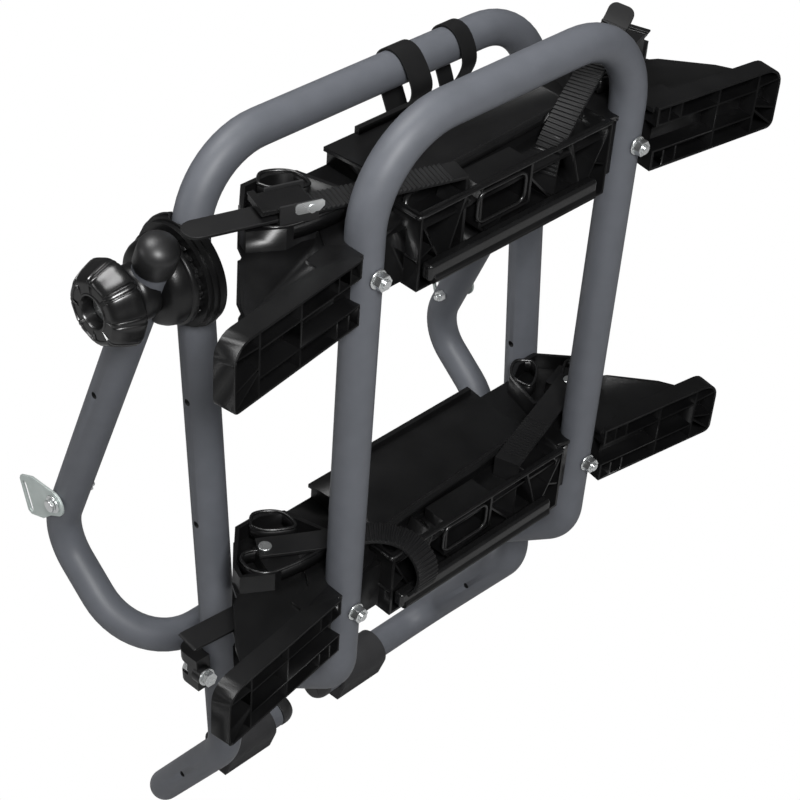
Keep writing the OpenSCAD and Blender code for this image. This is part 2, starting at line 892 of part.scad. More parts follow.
// A strap through its buckle, with a smooth tail and a round end
module buckled_strap(tail) {
  thin = strap_t - tooth_h;
  strap_root(strap_z + thin);
  translate([-strap_t, 0, strap_z])
    toothed_strap(buckle_s, 10, buckle_s - 12);
  translate([buckle_s - 12, -strap_w / 2, strap_z])
    cube([tail, strap_w, thin]);
  translate([buckle_s - 12 + tail, 0, strap_z])
    cylinder(r = strap_w / 2, h = thin);
}

module pinned_strap() {
  strap_root(buckle_z + strap_t - tooth_h);
  difference() {
    union() {
      translate([-strap_t, 0, buckle_z])
        toothed_strap(buckle_s, 8, buckle_s - 70);
      translate([buckle_s - 4, 0, buckle_z])
        cylinder(r = strap_w / 2, h = strap_t - tooth_h);
    }
    translate([buckle_s - 4, 0, buckle_z - 1])
      cylinder(r = strap_pin_r + gap, h = 10);
  }
}

module upper_left_strap() {
  color(soft_black)
    on_strap(-1, tray_high_s)
      buckled_strap(90);
}

// Frame of the loose strap: X along it, Y across it
module on_loose() {
  on_strap(1, tray_high_s)
    translate([-strap_t - 3, 0, loose_z])
      rotate([0, -loose_rise, loose_turn])
        children();
}

// This strap is pulled out of its buckle and stands up behind the frame
module upper_right_strap() {
  color(soft_black) {
    on_strap(1, tray_high_s)
      strap_root(loose_z + 4);
    on_loose()
      toothed_strap(loose_len, 6, loose_len - 22);
  }
}

// This strap lies over the ridge of the tray and bends down in front of it
module lower_left_strap() {
  thin = strap_t - tooth_h;
  color(soft_black)
    on_loop()
      translate([0, 0, buckle_z]) {
        difference() {
          union() {
            translate([-loop_reach, 0, 0])
              toothed_strap(loop_reach + loop_pin, 2, loop_reach + loop_pin - 60);
            translate([loop_pin, 0, 0])
              cylinder(r = strap_w / 2, h = thin);
          }
          translate([loop_pin, 0, -1])
            cylinder(r = strap_pin_r + gap, h = 10);
        }
        translate([-loop_reach + 0.2, strap_w / 2, thin - loop_r])
          rotate([90, 0, 0])
            rotate([0, 0, 90])
              rotate_extrude(angle = 90)
                translate([loop_r - thin + 0.05, 0])
                  square([thin - 0.1, strap_w]);
        for (i = [0:loop_teeth - 1])
          translate([-loop_reach, 0, thin - loop_r])
            rotate([0, -(i + 0.5) * 90 / loop_teeth, 0])
              translate([-0.8, -strap_w / 2, loop_r - 0.6])
                cube([1.6, strap_w, tooth_h + 0.4]);
        translate([-loop_reach - loop_r + 0.05, -strap_w / 2, thin - loop_r - loop_drop])
          cube([thin - 0.1, strap_w, loop_drop + 0.3]);
        for (i = [1:loop_teeth])
          translate([-loop_reach - loop_r - tooth_h + 0.1, -strap_w / 2, thin - loop_r - i * tooth_pitch])
            cube([tooth_h + 0.3, strap_w, 1.6]);
      }
}

module lower_right_strap() {
  color(soft_black)
    on_strap(1, tray_low_s)
      pinned_strap();
}

// Free end of the lower left strap, which comes out of the channel
module lower_left_tongue() {
  color(soft_black)
    on_platform(tray_low_s)
      translate([-body_x + 10, 34.5, -2])
        rotate([0, 0, 180 - tongue_turn])
          toothed_strap(tongue_len, 8, tongue_len / 2);
}

// Rivet with a flat head, standing in the cup
module strap_pin() {
  thin = strap_t - tooth_h;
  translate([0, 0, -8])
    cylinder(r = strap_pin_r, h = thin + gap + 8);
  translate([0, 0, thin + gap])
    cylinder(r = 6, h = 2);
}

module strap_pins() {
  color(zinc) {
    on_strap(1, tray_low_s)
      translate([buckle_s - 4, 0, buckle_z])
        strap_pin();
    on_loop()
      translate([loop_pin, 0, buckle_z])
        strap_pin();
  }
}

// Buckle base with two side plates
module buckle() {
  wide = strap_w / 2 + 1;
  color(zinc)
    translate([buckle_s, 0, buckle_z])
      difference() {
        union() {
          translate([-14, -wide - 2, 0])
            cube([32, 2 * wide + 4, 2]);
          for (y = [-wide - 2, wide])
            translate([-14, y, 0])
              cube([32, 2, 17]);
        }
        translate([-8, 50, lever_pin_z])
          rotate([90, 0, 0])
            cylinder(r = 2 + gap, h = 100);
      }
}

// Lever that lies over the strap and locks its teeth
module lever() {
  wide = strap_w / 2 + 1 - gap;
  color(black)
    translate([buckle_s, 0, buckle_z])
      difference() {
        union() {
          translate([-8, wide, lever_pin_z])
            rotate([90, 0, 0])
              cylinder(r = lever_r, h = 2 * wide);
          translate([-8, -wide, lever_pin_z + 0.2])
            cube([lever_len, 2 * wide, 4]);
          translate([lever_len - 14, -wide - 2, lever_pin_z + lever_r])
            cube([6, 2 * wide + 4, 2]);
        }
        translate([-8, 50, lever_pin_z])
          rotate([90, 0, 0])
            cylinder(r = 2 + run, h = 100);
      }
}

module lever_pins() {
  wide = strap_w / 2 + 3;
  color(zinc)
    for (side = [-1, 1])
      on_strap(side, tray_high_s)
        translate([buckle_s - 8, wide, buckle_z + lever_pin_z])
          rotate([90, 0, 0]) {
            cylinder(r = 2, h = 2 * wide);
            for (z = [-1.4 - 0.05, 2 * wide + 0.05])
              translate([0, 0, z])
                cylinder(r = 3.6, h = 1.4);
            translate([0, 0, -1])
              cylinder(r = 1.9, h = 2 * wide + 2);
          }
}

module upper_left_buckle() {
  on_strap(-1, tray_high_s)
    buckle();
}

module upper_right_buckle() {
  on_strap(1, tray_high_s)
    buckle();
}

module upper_left_lever() {
  on_strap(-1, tray_high_s)
    lever();
}

module upper_right_lever() {
  on_strap(1, tray_high_s)
    lever();
}

// A strap round the rear frame's top bar, with a tail that ends on the upper tray's tab
module hold_strap(x, w) {
  inner = tube_r + gap;
  tab_s = tray_high_s + tab_z + gap;
  tab_v = channel_depth - tab_t - 0.5;
  reach = [tab_v * cos(plat_lean) - tab_s * sin(plat_lean) - plat_front,
    plat_bend_z + tab_v * sin(plat_lean) + tab_s * cos(plat_lean) - rear_top_z];
  tail_len = sqrt(reach * reach - inner * inner);
  color(soft_black)
    translate([x - w / 2, 0, rear_top_z])
      rotate([90, 0, 90])
        difference() {
          union() {
            cylinder(r = inner + hold_t, h = w);
            rotate([0, 0, atan2(reach[1], reach[0]) - acos(inner / norm(reach)) - 90])
              translate([-tail_len, inner + 0.05, 0])
                cube([tail_len, hold_t - 0.1, w]);
          }
          translate([0, 0, -1])
            cylinder(r = inner, h = w + 2);
        }
}

module wide_hold_strap() {
  hold_strap(28, hold_wide);
}

module narrow_hold_strap() {
  hold_strap(84, hold_narrow);
}

// Trunk arm loop with holes for the hub bolts, anchor bolts and cross holes
module trunk_arm() {
  color(slate)
    difference() {
      frame_tube(arm_line, arm_radii);
      for (side = [-1, 1]) {
        cross_hole(side * arm_x, 0, hub_z, hub_bolt_d + 2 * gap);
        cross_hole(side * arm_x, arm_dir[1] * arm_hole_s, hub_z + arm_dir[2] * arm_hole_s, cross_hole_d);
        cross_hole(side * arm_x, arm_dir[1] * anchor_s, hub_z + arm_dir[2] * anchor_s, 6 + 2 * gap);
      }
    }
}

module arm_end_caps() {
  color(soft_black)
    both_sides()
      translate(arm_end + [arm_x, 0, 0])
        rotate([arm_slope, 0, 0])
          end_plug();
}

// Cradle under the arm, turning with it against the lock ring
module cradle(side) {
  color(black)
    mirror([side < 0 ? 1 : 0, 0, 0])
      on_hub()
        difference() {
          union() {
            translate([0, 0, cradle_in])
              cylinder(r = lock_r + 2, h = 6);
            translate([-34, -27, cradle_in + 3])
              cube([64, 54, arm_x - cradle_in - 3 - cap_split]);
          }
          translate([-80, 0, arm_x])
            rotate([0, 90, 0])
              cylinder(r = saddle_r, h = 160);
          cylinder(r = hub_bolt_d / 2 + gap, h = 2 * arm_x);
        }
}

// Cap that clamps the arm into its cradle
module clamp_cap(side) {
  color(black)
    mirror([side < 0 ? 1 : 0, 0, 0])
      on_hub()
        difference() {
          union() {
            translate([-30, -25, arm_x + cap_split])
              cube([56, 50, clamp_out - arm_x - cap_split - 1.5]);
            cylinder(r = 21, h = clamp_out);
          }
          translate([-80, 0, arm_x])
            rotate([0, 90, 0])
              cylinder(r = saddle_r, h = 160);
          cylinder(r = hub_bolt_d / 2 + gap, h = 2 * arm_x);
          translate([-100, -100, 0])
            cube([200, 200, arm_x + cap_split]);
        }
}

// Frame of a knob: Z outwards along its bolt
module on_knob(side) {
  mirror([side < 0 ? 1 : 0, 0, 0])
    translate([knob_in, 0, hub_z])
      rotate([0, 90, 0])
        children();
}

// Knob, wide near the arm and narrower at its face, with grooves and a sunk middle
module knob(side) {
  bore = hub_bolt_d / 2 + run;
  face_r = knob_r * 0.77;
  color(black)
    on_knob(side)
      difference() {
        rotate_extrude()
          polygon(concat([[bore, 0], [knob_r - 12, 0], [knob_r - 9, 3], [knob_r - 4, 5]],
            arc2([knob_r - 4, 9], 4, -60, 14, 6),
            arc2([face_r - 3, knob_len - 3], 3, 14, 90, 4),
            [[bore + 9, knob_len], [bore + 8, knob_len - 2], [bore + 8, knob_len - knob_sink],
            [bore, knob_len - knob_sink]]));
        for (i = [0:knob_lobes - 1])
          rotate([0, 0, (i + 0.5) * 360 / knob_lobes])
            translate([knob_r + 0.6, 0, 7])
              rotate([0, -atan2(knob_r - face_r, knob_len - 9), 0])
                cylinder(r = 2.6, h = knob_len + 10);
        for (i = [0:2 * knob_lobes - 1])
          rotate([0, 0, i * 180 / knob_lobes])
            translate([face_r - 5, -0.6, knob_len - 1.2])
              cube([8, 1.2, 3]);
      }
}

// Nut at the bottom of the knob's sunk middle
module knob_nut(side) {
  color(zinc)
    on_knob(side)
      translate([0, 0, knob_len - knob_sink + gap])
        difference() {
          cylinder(r = hub_bolt_d / 2 + 7, h = nut_h);
          translate([0, 0, -1])
            cylinder(r = hub_bolt_d / 2 + run, h = nut_h + 2);
        }
}

// Frame of an anchor bolt: X outwards along the bolt, Y back, Z up
module on_anchor(side) {
  mirror([side < 0 ? 1 : 0, 0, 0])
    translate([arm_x + tube_r + gap, arm_dir[1] * anchor_s, hub_z + arm_dir[2] * anchor_s])
      children();
}

// Sheet with a slot for the webbing of a trunk strap, turned a little below level
module anchor_plate(side) {
  color(zinc)
    on_anchor(side)
      rotate([-plate_turn, 0, 0])
        rotate([90, 0, 90])
          linear_extrude(plate_t)
            difference() {
              polygon(concat(arc2([0, 0], plate_end_r, 110, 262, 10),
                [[14, -12.5], [30, -16], [50, -12], [53, -8], [45, 25], [41, 28], [22, 26]]));
              circle(r = 3 + run);
              translate([43, 6])
                rotate([0, 0, 12])
                  round_slot(slot_len, slot_w);
            }
}

// A slot with round ends along Y
module round_slot(length, width) {
  square([width, length - width], center = true);
  for (y = [-1, 1])
    translate([0, y * (length - width) / 2])
      circle(d = width);
}

module anchor_bolts() {
  color(zinc)
    for (side = [-1, 1])
      on_anchor(side)
        rotate([0, 90, 0]) {
          translate([0, 0, -tube_d - 2 * gap - 10])
            cylinder(r = 3, h = tube_d + 2 * gap + 10 + plate_t + 2 * gap + washer_t);
          translate([0, 0, plate_t + 2 * gap + washer_t])
            cylinder(r = 6, h = 4);
        }
}

module anchor_washers() {
  color(zinc)
    for (side = [-1, 1])
      on_anchor(side)
        rotate([0, 90, 0])
          translate([0, 0, plate_t + gap])
            difference() {
              cylinder(r = 9, h = washer_t);
              translate([0, 0, -1])
                cylinder(r = 3.1, h = 4);
            }
}

module anchor_nuts() {
  color(zinc)
    for (side = [-1, 1])
      on_anchor(side)
        rotate([0, 90, 0])
          translate([0, 0, -tube_d - 2 * gap - 6])
            difference() {
              hex(10, 6);
              translate([0, 0, -1])
                cylinder(r = 3.1, h = 8);
            }
}

rear_frame();
pad_tube_caps();
rest_pad(-1);  // rest_pad_left
rest_pad(1);  // rest_pad_right
hub_housing(-1);  // hub_housing_left
hub_housing(1);  // hub_housing_right
lock_ring(-1);  // lock_ring_left
lock_ring(1);  // lock_ring_right
hub_bolt(-1);  // hub_bolt_left
hub_bolt(1);  // hub_bolt_right
hinge_bracket(-1);  // hinge_bracket_left
hinge_bracket(1);  // hinge_bracket_right
bracket_bolts();
bracket_nuts();
hinge_pins();
hinge_pin_nuts();
platform_frame();
platform_end_caps();
upper_tray();
lower_tray();
tray_bolts();
tray_washers();
tray_nuts();
upper_left_strap();
upper_right_strap();
lower_left_strap();
lower_right_strap();
lower_left_tongue();
strap_pins();
upper_left_buckle();
upper_right_buckle();
upper_left_lever();
upper_right_lever();
lever_pins();
wide_hold_strap();
narrow_hold_strap();
trunk_arm();
arm_end_caps();
cradle(-1);  // cradle_left
cradle(1);  // cradle_right
clamp_cap(-1);  // clamp_cap_left
clamp_cap(1);  // clamp_cap_right
knob(-1);  // knob_left
knob(1);  // knob_right
knob_nut(-1);  // knob_nut_left
knob_nut(1);  // knob_nut_right
anchor_plate(-1);  // anchor_plate_left
anchor_plate(1);  // anchor_plate_right
anchor_bolts();
anchor_washers();
anchor_nuts();
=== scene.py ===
import json
import math

import bmesh
import bpy
from mathutils import Matrix, Vector


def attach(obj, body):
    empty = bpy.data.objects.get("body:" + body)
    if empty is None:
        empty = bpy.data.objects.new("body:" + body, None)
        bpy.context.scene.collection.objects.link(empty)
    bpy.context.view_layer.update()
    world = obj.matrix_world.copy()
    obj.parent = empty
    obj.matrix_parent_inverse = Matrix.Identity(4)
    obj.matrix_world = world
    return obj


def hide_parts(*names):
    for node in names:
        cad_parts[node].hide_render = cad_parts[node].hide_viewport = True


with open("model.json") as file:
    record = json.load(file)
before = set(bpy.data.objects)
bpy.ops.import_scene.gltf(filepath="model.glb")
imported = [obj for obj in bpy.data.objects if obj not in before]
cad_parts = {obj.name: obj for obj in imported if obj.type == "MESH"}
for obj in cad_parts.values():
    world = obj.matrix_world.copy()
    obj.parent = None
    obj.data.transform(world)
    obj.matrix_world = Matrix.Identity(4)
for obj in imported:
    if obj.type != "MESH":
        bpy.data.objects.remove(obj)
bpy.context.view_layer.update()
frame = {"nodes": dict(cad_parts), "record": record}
nodes = frame["nodes"]
print("frame loaded with", len(nodes), "nodes")


# camera at the angle of the product picture
cameraLook = {
    "place": (-1.0570, -1.0989, 1.5667),
    "downDegrees": 35.189,
    "aroundDegrees": 44.746,
    "lensMm": 90.83,
    "sensorMm": 36.0,
}


def makeCamera(look):
    data = bpy.data.cameras.new("rackCamera")
    data.lens = look["lensMm"]
    data.sensor_width = look["sensorMm"]
    data.clip_end = 30
    camera = bpy.data.objects.new("rackCamera", data)
    camera.location = look["place"]
    tilt = math.radians(90 - look["downDegrees"])
    camera.rotation_euler = (tilt, 0, math.radians(-look["aroundDegrees"]))
    bpy.context.scene.collection.objects.link(camera)
    bpy.context.scene.camera = camera
    return camera


makeCamera(cameraLook)


# a finish is a plain shader with a slow tone, a wandering roughness and a fine grain
def newFinish(name, colour, roughness, specular, metal):
    material = bpy.data.materials.new(name)
    material.use_nodes = True
    shader = material.node_tree.nodes["Principled BSDF"]
    shader.inputs["Base Color"].default_value = (*colour, 1)
    shader.inputs["Roughness"].default_value = roughness
    shader.inputs["Specular IOR Level"].default_value = specular
    shader.inputs["Metallic"].default_value = metal
    return material


def addGrain(material, scale, depth, strength, cells=False):
    tree = material.node_tree
    shader = tree.nodes["Principled BSDF"]
    coords = tree.nodes.new("ShaderNodeTexCoord")
    if cells:
        grain = tree.nodes.new("ShaderNodeTexVoronoi")
        out = grain.outputs["Distance"]
    else:
        grain = tree.nodes.new("ShaderNodeTexNoise")
        grain.inputs["Detail"].default_value = 4
        out = grain.outputs["Fac"]
    grain.inputs["Scale"].default_value = scale
    bump = tree.nodes.new("ShaderNodeBump")
    bump.inputs["Strength"].default_value = strength
    bump.inputs["Distance"].default_value = depth
    tree.links.new(coords.outputs["Object"], grain.inputs["Vector"])
    tree.links.new(out, bump.inputs["Height"])
    tree.links.new(bump.outputs["Normal"], shader.inputs["Normal"])


def addTone(material, low, high, scale):
    # slow change of colour over the surface, as on any moulded or painted piece
    tree = material.node_tree
    shader = tree.nodes["Principled BSDF"]
    coords = tree.nodes.new("ShaderNodeTexCoord")
    cloud = tree.nodes.new("ShaderNodeTexNoise")
    cloud.inputs["Scale"].default_value = scale
    cloud.inputs["Detail"].default_value = 6
    ramp = tree.nodes.new("ShaderNodeValToRGB")
    ramp.color_ramp.elements[0].position = 0.3
    ramp.color_ramp.elements[0].color = (*low, 1)
    ramp.color_ramp.elements[1].position = 0.7
    ramp.color_ramp.elements[1].color = (*high, 1)
    tree.links.new(coords.outputs["Object"], cloud.inputs["Vector"])
    tree.links.new(cloud.outputs["Fac"], ramp.inputs["Fac"])
    tree.links.new(ramp.outputs["Color"], shader.inputs["Base Color"])


def addWear(material, low, high, scale):
    # roughness wanders a little, so that highlights break up
    tree = material.node_tree
    shader = tree.nodes["Principled BSDF"]
    coords = tree.nodes.new("ShaderNodeTexCoord")
    cloud = tree.nodes.new("ShaderNodeTexNoise")
    cloud.inputs["Scale"].default_value = scale
    cloud.inputs["Detail"].default_value = 5
    spread = tree.nodes.new("ShaderNodeMapRange")
    spread.inputs["To Min"].default_value = low
    spread.inputs["To Max"].default_value = high
    tree.links.new(coords.outputs["Object"], cloud.inputs["Vector"])
    tree.links.new(cloud.outputs["Fac"], spread.inputs["Value"])
    tree.links.new(spread.outputs["Result"], shader.inputs["Roughness"])


# finishes, each built once and shared by the pieces that have it: tone is two colours and a scale,
# wear two roughnesses and a scale, grain a scale, a depth in metres and a strength
finishLook = {
    "frame_paint": {
        "name": "framePaint", "colour": (0.098, 0.104, 0.118), "roughness": 0.48, "specular": 0.4,
        "tone": ((0.093, 0.099, 0.112), (0.103, 0.109, 0.124), 60),
        "wear": (0.46, 0.56, 40), "grain": (1800, 0.00006, 0.35),
    },
    "black_plastic": {
        "name": "mouldedBlack", "colour": (0.004, 0.004, 0.0042), "roughness": 0.36, "specular": 0.38,
        "tone": ((0.003, 0.003, 0.0032), (0.006, 0.006, 0.0062), 30),
        "wear": (0.3, 0.4, 25), "grain": (900, 0.0001, 0.3), "cells": True,
    },
    "knob_gloss": {
        "name": "glossBlack", "colour": (0.006, 0.006, 0.0062), "roughness": 0.26, "specular": 0.55,
        "tone": ((0.005, 0.005, 0.0052), (0.008, 0.008, 0.0082), 40),
        "wear": (0.2, 0.3, 60), "grain": (700, 0.00003, 0.2),
    },
    "soft_black": {
        "name": "softBlack", "colour": (0.014, 0.014, 0.015), "roughness": 0.42,
        "tone": ((0.012, 0.012, 0.0125), (0.017, 0.017, 0.0175), 30),
        "wear": (0.36, 0.48, 40), "grain": (900, 0.00004, 0.3),
    },
    "strap_black": {
        "name": "strapBlack", "colour": (0.007, 0.007, 0.0073), "roughness": 0.52, "specular": 0.25,
        "tone": ((0.006, 0.006, 0.0063), (0.009, 0.009, 0.0093), 40),
        "wear": (0.46, 0.58, 60), "grain": (1300, 0.00008, 0.4),
    },
    "pad_rubber": {
        "name": "padRubber", "colour": (0.022, 0.022, 0.0235), "roughness": 0.6, "specular": 0.35,
        "tone": ((0.019, 0.019, 0.0205), (0.026, 0.026, 0.0275), 40),
        "wear": (0.56, 0.68, 40), "grain": (1200, 0.00008, 0.4),
    },
    "zinc_steel": {
        "name": "zincSteel", "colour": (0.82, 0.84, 0.84), "roughness": 0.28, "metal": 0.94,
        "tone": ((0.78, 0.80, 0.80), (0.90, 0.92, 0.92), 90),
        "wear": (0.25, 0.3, 60), "grain": (1500, 0.00002, 0.25),
    },
    "plate_zinc": {
        "name": "plateZinc", "colour": (0.58, 0.64, 0.62), "roughness": 0.42, "metal": 0.6,
        "tone": ((0.54, 0.60, 0.58), (0.62, 0.68, 0.66), 60),
        "wear": (0.36, 0.5, 70), "grain": (1400, 0.00003, 0.3),
    },
}


def makeFinish(look):
    material = newFinish(look["name"], look["colour"], look["roughness"],
                         look.get("specular", 0.5), look.get("metal", 0.0))
    addTone(material, *look["tone"])
    addWear(material, *look["wear"])
    addGrain(material, *look["grain"], cells=look.get("cells", False))
    return material


finishes = {name: makeFinish(look) for name, look in finishLook.items()}
slotOf = {part["node"]: part["material_slot"] for part in frame["record"]["subparts"]}
bodyOf = {}
for bodyName, members in frame["record"]["behaviour"]["bodies"].items():
    for member in members:
        bodyOf[member] = bodyName
print("finishes made:", len(finishes))


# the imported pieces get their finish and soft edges; both buckles are steel with a black coat
edgeLook = {"widthMm": 0.7, "sharperThanDegrees": 32, "flatWithinDegrees": 1.5, "weldMm": 0.01}
fineEdgesMm = {"tray_nuts": 0.5, "bracket_nuts": 0.5, "anchor_nuts": 0.4, "anchor_plate_left": 0.4,
               "anchor_plate_right": 0.4, "tray_bolts": 0.6, "bracket_bolts": 0.6}
blackMetal = ("upper_right_buckle", "upper_left_buckle")
tubeNodes = ("rear_frame", "platform_frame", "trunk_arm")


def softenEdges(piece, widthMm):
    weld = piece.modifiers.new("joined", "WELD")
    weld.merge_threshold = edgeLook["weldMm"] / 1000
    flat = piece.modifiers.new("flatFaces", "DECIMATE")
    flat.decimate_type = "DISSOLVE"
    flat.angle_limit = math.radians(edgeLook["flatWithinDegrees"])
    bevel = piece.modifiers.new("softEdge", "BEVEL")
    bevel.width = widthMm / 1000
    bevel.segments = 2
    bevel.limit_method = "ANGLE"
    bevel.angle_limit = math.radians(edgeLook["sharperThanDegrees"])
    bevel.use_clamp_overlap = True
    bevel.harden_normals = False


def dressNode(name, piece):
    piece.data.materials.clear()
    piece.data.materials.append(finishes["soft_black" if name in blackMetal else slotOf[name]])
    for face in piece.data.polygons:
        face.use_smooth = True
    if name not in tubeNodes:
        softenEdges(piece, fineEdgesMm.get(name, edgeLook["widthMm"]))
    smooth = piece.modifiers.new("shading", "WEIGHTED_NORMAL")
    smooth.keep_sharp = True


for name, piece in nodes.items():
    dressNode(name, piece)
print("packed pieces dressed")


# every rebuilt piece: a mesh from points and faces, its finish, its moving body and its slot
def meshPiece(name, points, faces, finish, body, sharpDegrees=38):
    data = bpy.data.meshes.new(name)
    data.from_pydata([tuple(p) for p in points], [], faces)
    data.validate()
    data.update()
    for face in data.polygons:
        face.use_smooth = True
    data.set_sharp_from_angle(angle=math.radians(sharpDegrees))
    piece = bpy.data.objects.new(name, data)
    bpy.context.scene.collection.objects.link(piece)
    data.materials.append(finishes[finish])
    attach(piece, body)
    return piece


def ringFaces(first, second, around):
    # the quads between two rings of points
    faces = []
    for k in range(around):
        n = (k + 1) % around
        faces.append((first + k, first + n, second + n, second + k))
    return faces


def turnedFaces(rows, around, side):
    # the quads of a closed profile turned about X, facing outwards on either side
    faces = []
    for row in range(rows):
        first, second = row * around, (row + 1) % rows * around
        for k in range(around):
            n = (k + 1) % around
            quad = (first + k, second + k, second + n, first + n)
            faces.append(quad if side > 0 else quad[::-1])
    return faces


# bent tubes, swept along their centre lines; lengths here are in millimetres
tubeSize = {"outside": 32.0, "wall": 2.0, "around": 64, "bendSteps": 14, "lip": 0.6,
            "openDeep": 60.0, "hole": 6.6, "drillLong": 60.0, "drillSides": 24}
rearTube = {"legX": 201.5, "topZ": 820.0, "cornerR": 75.0, "footZ": 188.0, "footY": 126.0,
            "padZ": 33.0, "footR": 60.0, "stubR": 45.0, "stubX": 35.0,
            "holesZ": (597.0, 467.0), "footHoleY": 52.0}
platformTube = {"legX": 152.5, "leanDegrees": 5.1, "length": 554.0, "cornerR": 80.0,
                "frontY": -107.0, "bendZ": 323.0, "bendR": 48.0, "pivotZ": 253.0, "past": 9.0}
armTube = {"legX": 250.0, "hubZ": 724.0, "elbow": (167.0, 337.0), "bar": (62.0, 437.0),
           "elbowR": 48.0, "cornerR": 72.0, "tip": 47.0, "holeFromHub": 142.0}


def bentLine(corners, radii, steps):
    # replaces each inner corner by an arc of its radius
    line = [Vector(corners[0])]
    for index in range(1, len(corners) - 1):
        before, corner, after = (Vector(corners[index + k]) for k in (-1, 0, 1))
        arriving = (corner - before).normalized()
        leaving = (after - corner).normalized()
        turn = arriving.angle(leaving)
        reach = radii[index - 1] * math.tan(turn / 2)
        inward = (leaving - arriving * arriving.dot(leaving)).normalized()
        centre = corner - arriving * reach + inward * radii[index - 1]
        for step in range(steps + 1):
            angle = turn * step / steps
            line.append(centre - inward * radii[index - 1] * math.cos(angle)
                        + arriving * radii[index - 1] * math.sin(angle))
    line.append(Vector(corners[-1]))
    return line


def sweptTube(line, size):
    # outer wall, inner wall a little way in, and a rounded lip at both ends
    outside = size["outside"] / 2
    inside = outside - size["wall"]
    around, lip, deep = size["around"], size["lip"], size["openDeep"]
    points, faces, rings = [], [], []
    tangent = (line[1] - line[0]).normalized()
    side = tangent.orthogonal().normalized()

    def ring(centre, along, across, radius):
        up = along.cross(across)
        start = len(points)
        for k in range(around):
            angle = 2 * math.pi * k / around
            points.append((centre + across * radius * math.cos(angle)
                           + up * radius * math.sin(angle)) / 1000)
        return start

    frames = []
    for index, centre in enumerate(line):
        if 0 < index < len(line) - 1:
            along = (line[index + 1] - line[index - 1]).normalized()
        else:
            along = (line[min(index + 1, len(line) - 1)] - line[max(index - 1, 0)]).normalized()
        side = (side - along * along.dot(side)).normalized()
        frames.append((centre, along, side.copy()))
    endRings = [(deep, inside), (lip, inside), (0.0, inside + lip), (0.0, outside - lip),
                (lip, outside)]
    centre, along, across = frames[0]
    for back, radius in endRings:
        rings.append(ring(centre + along * back, along, across, radius))
    for centre, along, across in frames[1:-1]:
        rings.append(ring(centre, along, across, outside))
    centre, along, across = frames[-1]
    for back, radius in reversed(endRings):
        rings.append(ring(centre - along * back, along, across, radius))
    for first, second in zip(rings, rings[1:]):
        faces += ringFaces(first, second, around)
    faces.append(tuple(rings[0] + k for k in reversed(range(around))))
    faces.append(tuple(rings[-1] + k for k in range(around)))
    return points, faces


def crossDrill(centre, size):
    # cuts a hole through a tube along X; the drill's dark plastic finish stays on the bore as painted
    # shade inside the hole
    data = bpy.data.meshes.new("drill")
    mesh = bmesh.new()
    radius = size["hole"] / 2000
    bmesh.ops.create_cone(mesh, cap_ends=True, segments=size["drillSides"], radius1=radius,
                          radius2=radius, depth=size["drillLong"] / 1000)
    mesh.to_mesh(data)
    mesh.free()
    # dark plastic on the drill, handed on to the bore walls: painted shade in the hole
    data.materials.append(finishes["black_plastic"])
    drill = bpy.data.objects.new("drill", data)
    bpy.context.scene.collection.objects.link(drill)
    drill.matrix_world = (Matrix.Translation(Vector(centre) / 1000)
                          @ Matrix.Rotation(math.radians(90), 4, "Y"))
    return drill


def finishTube(piece, drills):
    # cuts the holes and keeps the result as a plain mesh
    for drill in drills:
        cut = piece.modifiers.new("hole", "BOOLEAN")
        cut.operation = "DIFFERENCE"
        cut.solver = "EXACT"
        # the drill's dark finish passes to the cut faces, so each bore carries painted shade
        cut.material_mode = "TRANSFER"
        cut.object = drill
    bpy.context.view_layer.update()
    shown = bpy.context.evaluated_depsgraph_get()
    finished = bpy.data.meshes.new_from_object(piece.evaluated_get(shown))
    piece.modifiers.clear()
    piece.data = finished
    for drill in drills:
        bpy.data.objects.remove(drill)
    for face in finished.polygons:
        face.use_smooth = True
    shading = piece.modifiers.new("shading", "WEIGHTED_NORMAL")
    shading.keep_sharp = True


def makeRearTube(look):
    legX, footY = look["legX"], look["footY"]
    corners = [(-look["stubX"], footY, look["padZ"]), (-legX, footY, look["padZ"]),
               (-legX, 0, look["footZ"]), (-legX, 0, look["topZ"])]
    corners += [(-x, y, z) for x, y, z in reversed(corners)]
    radii = [look["stubR"], look["footR"], look["cornerR"]]
    radii += radii[::-1]
    points, faces = sweptTube(bentLine(corners, radii, tubeSize["bendSteps"]), tubeSize)
    tube = meshPiece("rearTube", points, faces, "frame_paint", "rear_frame")
    drills = []
    footDrop = (look["footZ"] - look["padZ"]) / footY
    places = [(0, z) for z in look["holesZ"]]
    places.append((look["footHoleY"], look["footZ"] - look["footHoleY"] * footDrop))
    for side in (-1, 1):
        for y, z in places:
            drills.append(crossDrill((side * legX, y, z), tubeSize))
    finishTube(tube, drills)
    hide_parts("rear_frame")


def makePlatformTube(look):
    # both lower ends reach a little past the hinge pins
    legX, lean = look["legX"], math.radians(look["leanDegrees"])
    topY = look["frontY"] - look["length"] * math.sin(lean)
    topZ = look["bendZ"] + look["length"] * math.cos(lean)
    foot = Vector((0, -look["frontY"], look["pivotZ"] - look["bendZ"])).normalized() * look["past"]
    corners = [(-legX, foot.y, look["pivotZ"] + foot.z), (-legX, look["frontY"], look["bendZ"]),
               (-legX, topY, topZ)]
    corners += [(-x, y, z) for x, y, z in reversed(corners)]
    radii = [look["bendR"], look["cornerR"], look["cornerR"], look["bendR"]]
    points, faces = sweptTube(bentLine(corners, radii, tubeSize["bendSteps"]), tubeSize)
    tube = meshPiece("platformTube", points, faces, "frame_paint", "platform")
    finishTube(tube, [])
    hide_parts("platform_frame")


